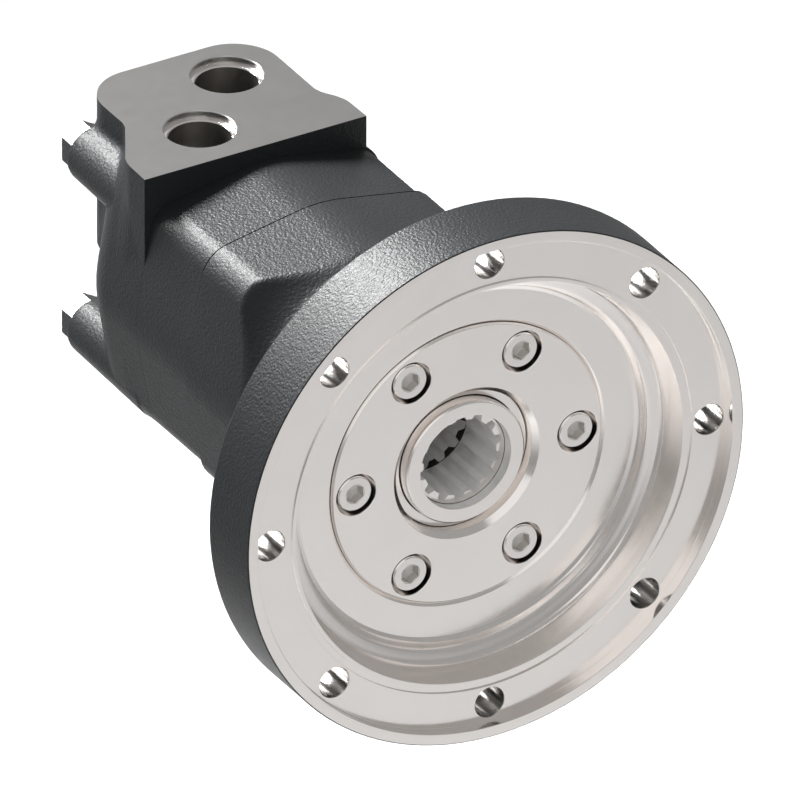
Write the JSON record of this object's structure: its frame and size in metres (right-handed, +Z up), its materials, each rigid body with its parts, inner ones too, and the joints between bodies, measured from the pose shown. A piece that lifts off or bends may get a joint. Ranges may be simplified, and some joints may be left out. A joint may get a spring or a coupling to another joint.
{
  "type": "orbital hydraulic motor",
  "caption": "Low-speed high-torque geroler motor: pilot flange with a recessed face, hollow splined output shaft and a side-ported disc-valve rear housing.",
  "frame": {"origin": "centre of the flange's front rim face, on the output axis", "axes": "+X along the output axis, out of the front; +Z up, out of the two ports; +Y across"},
  "size_m": [0.2178, 0.1882, 0.1882],
  "materials": {
    "painted_cast_iron": "satin charcoal paint on cast iron; machined faces bare",
    "machined_steel": "fine turned",
    "screw_steel": "satin zinc",
    "seal_case": "satin",
    "rubber_black": "matte",
    "bearing_steel": "ground and polished",
    "pressed_steel": "pressed sheet",
    "ground_steel": "ground",
    "link_steel": "case-hardened, oiled",
    "black_steel": "black oxide, painted over at the heads"
  },
  "bodies": {
    "housing": {"front_housing": "painted_cast_iron", "bearing_cover": "machined_steel", "cover_screws": "screw_steel", "cover_o_ring": "rubber_black", "dust_seal": "seal_case", "shaft_seal": "rubber_black", "front_bearing_cup": "bearing_steel", "rear_bearing_cup": "bearing_steel", "wear_plate": "ground_steel", "front_section_o_ring": "rubber_black", "stator_ring": "painted_cast_iron", "rear_section_o_ring": "rubber_black", "channel_plate": "ground_steel", "rear_housing": "painted_cast_iron", "balance_ring": "ground_steel", "balance_seals": "rubber_black", "balance_spring": "pressed_steel", "balance_pins": "bearing_steel", "tie_bolts": "black_steel"},
    "shaft": {"output_shaft": "machined_steel", "front_bearing_cone": "bearing_steel", "rear_bearing_cone": "bearing_steel", "lock_washer": "pressed_steel", "bearing_nut": "black_steel"},
    "front_roller_set": {"front_bearing_cage": "pressed_steel", "front_bearing_rollers": "bearing_steel"},
    "rear_roller_set": {"rear_bearing_cage": "pressed_steel", "rear_bearing_rollers": "bearing_steel"},
    "rotor_orbit": {"thrust_button": "machined_steel"},
    "rotor": {"rotor": "ground_steel"},
    "drive_link": {"drive_link": "link_steel"},
    "valve_link": {"valve_link": "link_steel"},
    "valve": {"disc_valve": "ground_steel"},
    "roller_1": {"geroler_roller_1": "bearing_steel"},
    "roller_2": {"geroler_roller_2": "bearing_steel"},
    "roller_3": {"geroler_roller_3": "bearing_steel"},
    "roller_4": {"geroler_roller_4": "bearing_steel"},
    "roller_5": {"geroler_roller_5": "bearing_steel"},
    "roller_6": {"geroler_roller_6": "bearing_steel"},
    "roller_7": {"geroler_roller_7": "bearing_steel"}
  },
  "joints": [
    {"name": "shaft_spin", "type": "hinge", "parent": "housing", "child": "shaft", "pos_m": [-0.06, 0, 0], "axis": [1, 0, 0], "continuous": true},
    {"name": "front_cage_spin", "type": "hinge", "parent": "housing", "child": "front_roller_set", "pos_m": [-0.043, 0, 0], "axis": [1, 0, 0], "continuous": true},
    {"name": "rear_cage_spin", "type": "hinge", "parent": "housing", "child": "rear_roller_set", "pos_m": [-0.0756, 0, 0], "axis": [1, 0, 0], "continuous": true},
    {"name": "orbit", "type": "hinge", "parent": "housing", "child": "rotor_orbit", "pos_m": [-0.135, 0, 0], "axis": [1, 0, 0], "continuous": true},
    {"name": "rotor_spin", "type": "hinge", "parent": "rotor_orbit", "child": "rotor", "pos_m": [-0.135, 0.0025, 0], "axis": [1, 0, 0], "continuous": true},
    {"name": "drive_link_spin", "type": "hinge", "parent": "rotor_orbit", "child": "drive_link", "pos_m": [-0.0635, 0, 0], "axis": [0.9992, -0.04, 0], "continuous": true},
    {"name": "valve_link_spin", "type": "hinge", "parent": "rotor_orbit", "child": "valve_link", "pos_m": [-0.1715, 0, 0], "axis": [0.9968, 0.0804, 0], "continuous": true},
    {"name": "valve_spin", "type": "hinge", "parent": "housing", "child": "valve", "pos_m": [-0.17, 0, 0], "axis": [1, 0, 0], "continuous": true},
    {"name": "roller_1_spin", "type": "hinge", "parent": "housing", "child": "roller_1", "pos_m": [-0.135, 0.03, 0], "axis": [1, 0, 0], "continuous": true},
    {"name": "roller_2_spin", "type": "hinge", "parent": "housing", "child": "roller_2", "pos_m": [-0.135, 0.0187, 0.02345], "axis": [1, 0, 0], "continuous": true},
    {"name": "roller_3_spin", "type": "hinge", "parent": "housing", "child": "roller_3", "pos_m": [-0.135, -0.00668, 0.02925], "axis": [1, 0, 0], "continuous": true},
    {"name": "roller_4_spin", "type": "hinge", "parent": "housing", "child": "roller_4", "pos_m": [-0.135, -0.02703, 0.01302], "axis": [1, 0, 0], "continuous": true},
    {"name": "roller_5_spin", "type": "hinge", "parent": "housing", "child": "roller_5", "pos_m": [-0.135, -0.02703, -0.01302], "axis": [1, 0, 0], "continuous": true},
    {"name": "roller_6_spin", "type": "hinge", "parent": "housing", "child": "roller_6", "pos_m": [-0.135, -0.00668, -0.02925], "axis": [1, 0, 0], "continuous": true},
    {"name": "roller_7_spin", "type": "hinge", "parent": "housing", "child": "roller_7", "pos_m": [-0.135, 0.0187, -0.02345], "axis": [1, 0, 0], "continuous": true}
  ],
  "couplings": [
    {"joint": "front_cage_spin", "follows": "shaft_spin", "ratio": 0.4427},
    {"joint": "rear_cage_spin", "follows": "shaft_spin", "ratio": 0.4427},
    {"joint": "orbit", "follows": "shaft_spin", "ratio": -6},
    {"joint": "rotor_spin", "follows": "shaft_spin", "ratio": 7},
    {"joint": "drive_link_spin", "follows": "shaft_spin", "ratio": 7},
    {"joint": "valve_link_spin", "follows": "shaft_spin", "ratio": 7},
    {"joint": "valve_spin", "follows": "shaft_spin", "ratio": 1},
    {"joint": "roller_1_spin", "follows": "shaft_spin", "ratio": -5.522},
    {"joint": "roller_2_spin", "follows": "shaft_spin", "ratio": -5.522},
    {"joint": "roller_3_spin", "follows": "shaft_spin", "ratio": -5.522},
    {"joint": "roller_4_spin", "follows": "shaft_spin", "ratio": -5.522},
    {"joint": "roller_5_spin", "follows": "shaft_spin", "ratio": -5.522},
    {"joint": "roller_6_spin", "follows": "shaft_spin", "ratio": -5.522},
    {"joint": "roller_7_spin", "follows": "shaft_spin", "ratio": -5.522}
  ]
}
